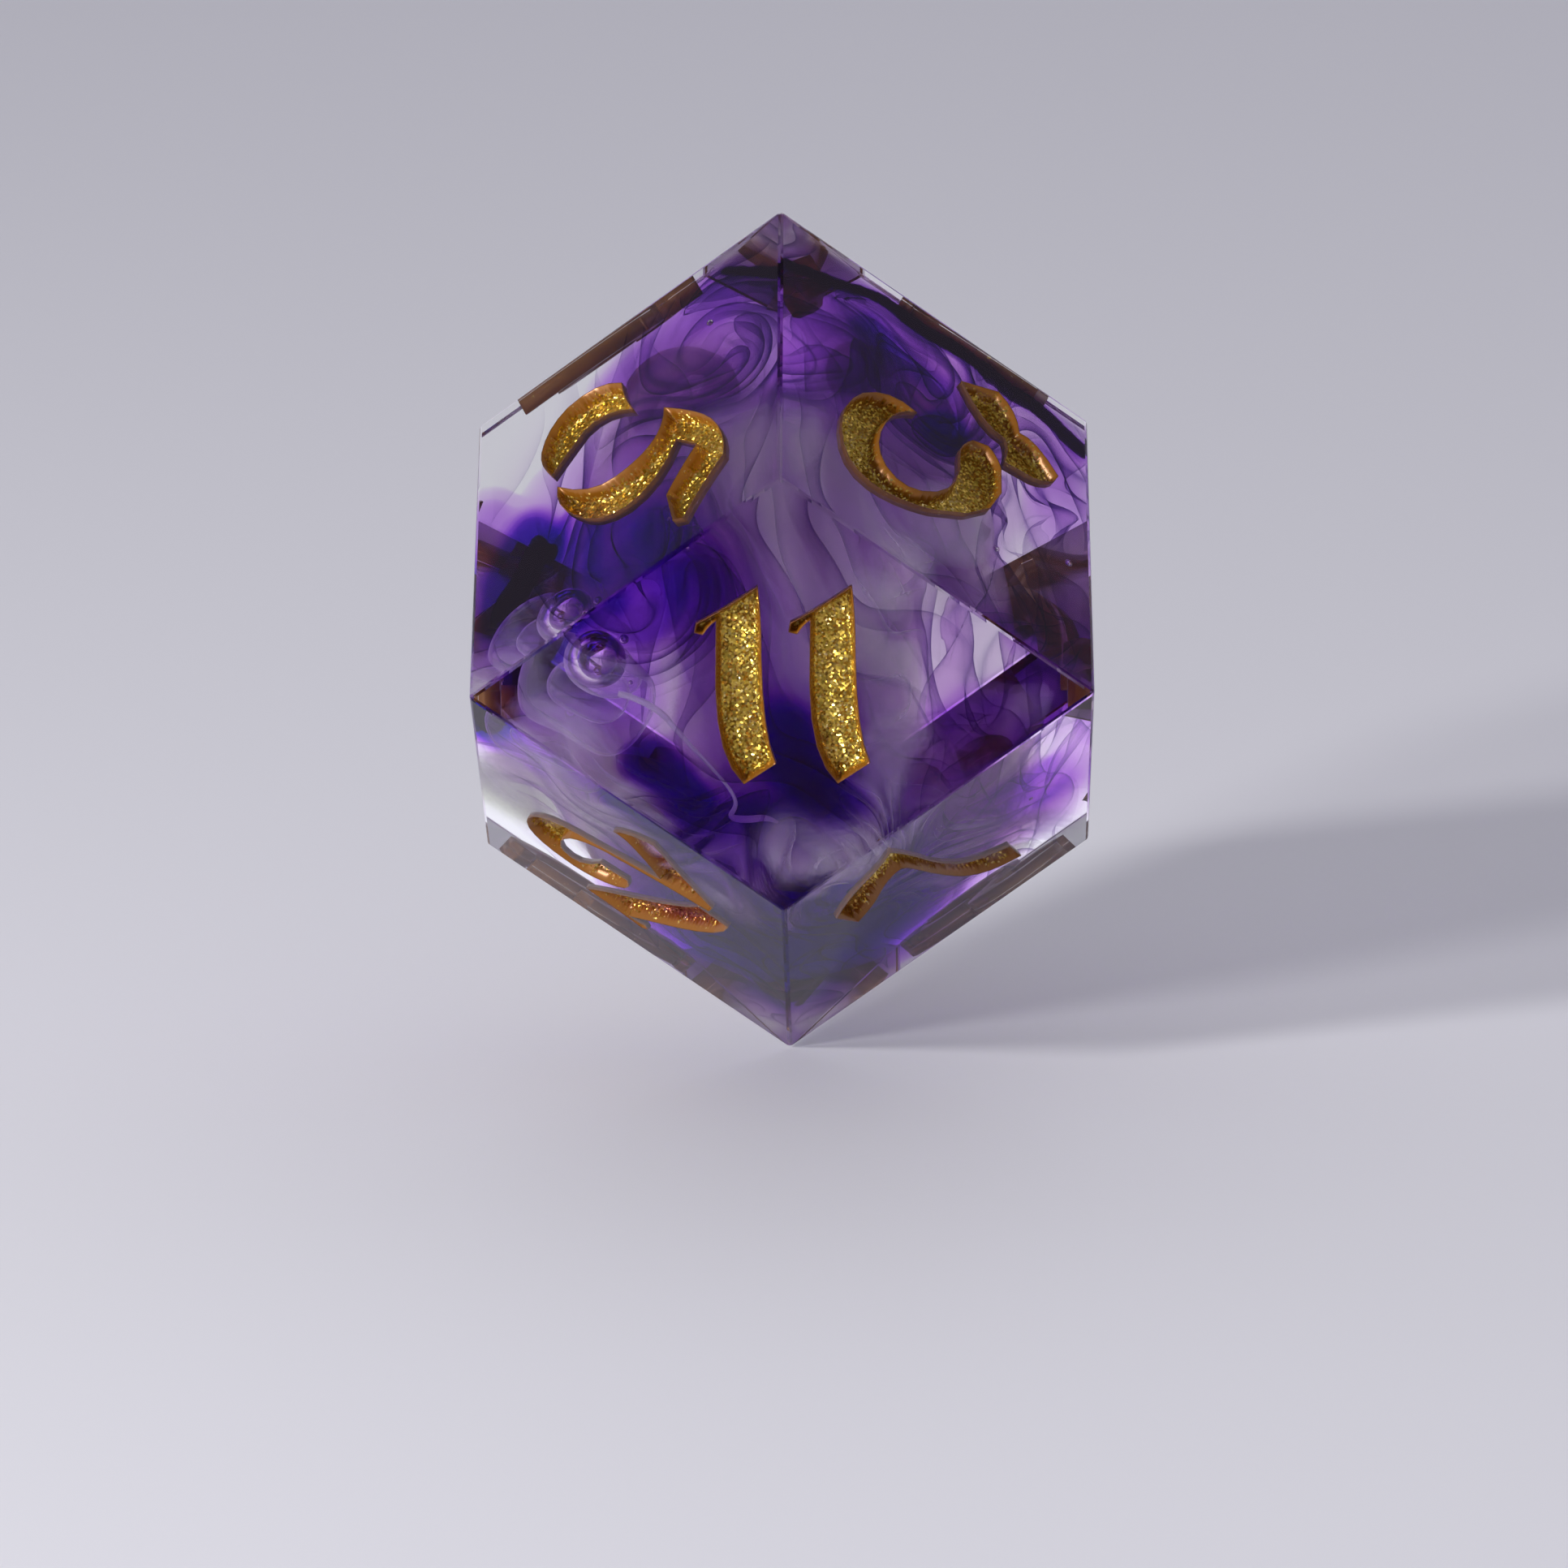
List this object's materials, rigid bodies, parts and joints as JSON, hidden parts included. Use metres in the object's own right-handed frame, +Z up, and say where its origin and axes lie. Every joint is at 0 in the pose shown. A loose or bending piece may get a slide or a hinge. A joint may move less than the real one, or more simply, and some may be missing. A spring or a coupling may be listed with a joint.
{
  "type": "polyhedral die",
  "caption": "Twelve-sided sharp-edged die of clear resin with drifting violet ink, engraved numerals filled with gold glitter paint.",
  "frame": {"origin": "centre of the die, the same distance from all its faces", "axes": "+Z up through two opposite four-edged corners, the way the die is shown standing; -Y out of the face with the number 11; +X to the right of that face"},
  "size_m": [0.02, 0.02, 0.0282],
  "materials": {
    "resin": "clear cast resin with violet and milky ink swirls, hand polished to a high gloss",
    "gold_paint": "gold acrylic paint with fine glitter, wiped flush and pooled in the engraving"
  },
  "bodies": {
    "root": {"gold_01_stem": "gold_paint", "gold_02_stroke": "gold_paint", "gold_03_bowl": "gold_paint", "gold_03_top_bar": "gold_paint", "gold_04_slope": "gold_paint", "gold_04_stem": "gold_paint", "gold_05_lower_arc": "gold_paint", "gold_05_upper_bowl": "gold_paint", "gold_06_back": "gold_paint", "gold_06_bowl": "gold_paint", "gold_06_mark": "gold_paint", "gold_07_stroke": "gold_paint", "gold_08_lower_arc": "gold_paint", "gold_08_spine": "gold_paint", "gold_08_upper_arc": "gold_paint", "gold_09_back": "gold_paint", "gold_09_bowl": "gold_paint", "gold_09_mark": "gold_paint", "gold_10_tens_stem": "gold_paint", "gold_10_units_left": "gold_paint", "gold_10_units_right": "gold_paint", "gold_11_tens_stem": "gold_paint", "gold_11_units_stem": "gold_paint", "gold_12_tens_stem": "gold_paint", "gold_12_units_stroke": "gold_paint", "resin_body": "resin"}
  },
  "joints": []
}
